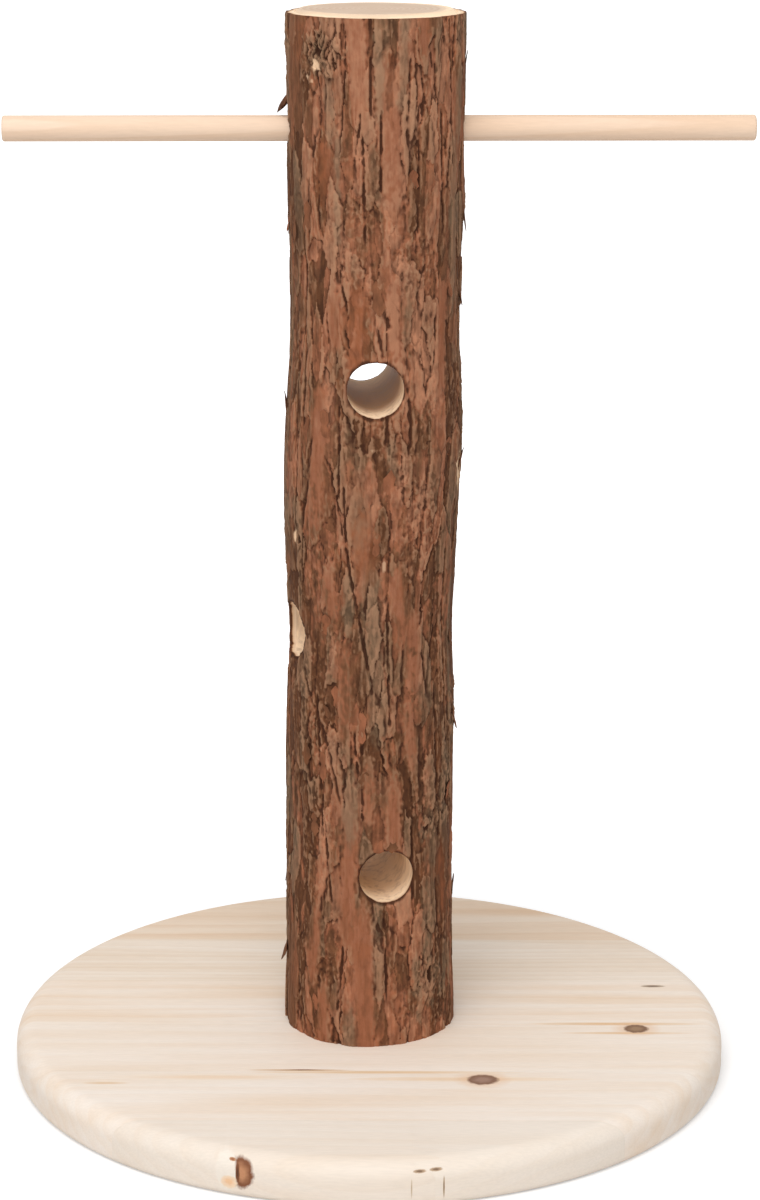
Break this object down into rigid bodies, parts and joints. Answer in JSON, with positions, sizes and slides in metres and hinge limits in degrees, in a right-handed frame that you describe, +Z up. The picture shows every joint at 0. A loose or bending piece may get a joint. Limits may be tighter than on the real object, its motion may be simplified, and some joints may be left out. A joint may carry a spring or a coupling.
{
  "type": "bird feeding tree",
  "caption": "Bird feeding tree: an upright bark-covered log with bored feeding holes and a push-through dowel perch, screwed to a round glued-up softwood board.",
  "frame": {"origin": "middle of the round board's underside, on the surface that the tree stands on", "axes": "+Z up along the log, +X to the right along the perch (which is turned about one degree from it), +Y away from the front, where two of the feeding holes open"},
  "size_m": [0.2936, 0.29, 0.43],
  "materials": {
    "log_wood": "sawn end grain",
    "bark": "rough natural bark",
    "dowel_wood": "sanded, untreated",
    "board_wood": "planed, untreated",
    "screw_steel": "yellow zinc plated"
  },
  "bodies": {
    "stand": {"trunk_wood": "log_wood", "bark": "bark", "base_stave_1_left": "board_wood", "base_stave_1_right": "board_wood", "base_stave_2": "board_wood", "base_stave_3": "board_wood", "base_stave_4": "board_wood", "base_stave_5": "board_wood", "base_stave_6": "board_wood", "base_stave_7": "board_wood", "base_screws": "screw_steel"},
    "perch": {"perch": "dowel_wood"}
  },
  "joints": [
    {"name": "perch_slide", "type": "slide", "parent": "stand", "child": "perch", "axis": [0.9997, 0.0227, 0], "range_m": [-0.111, 0.108]}
  ]
}
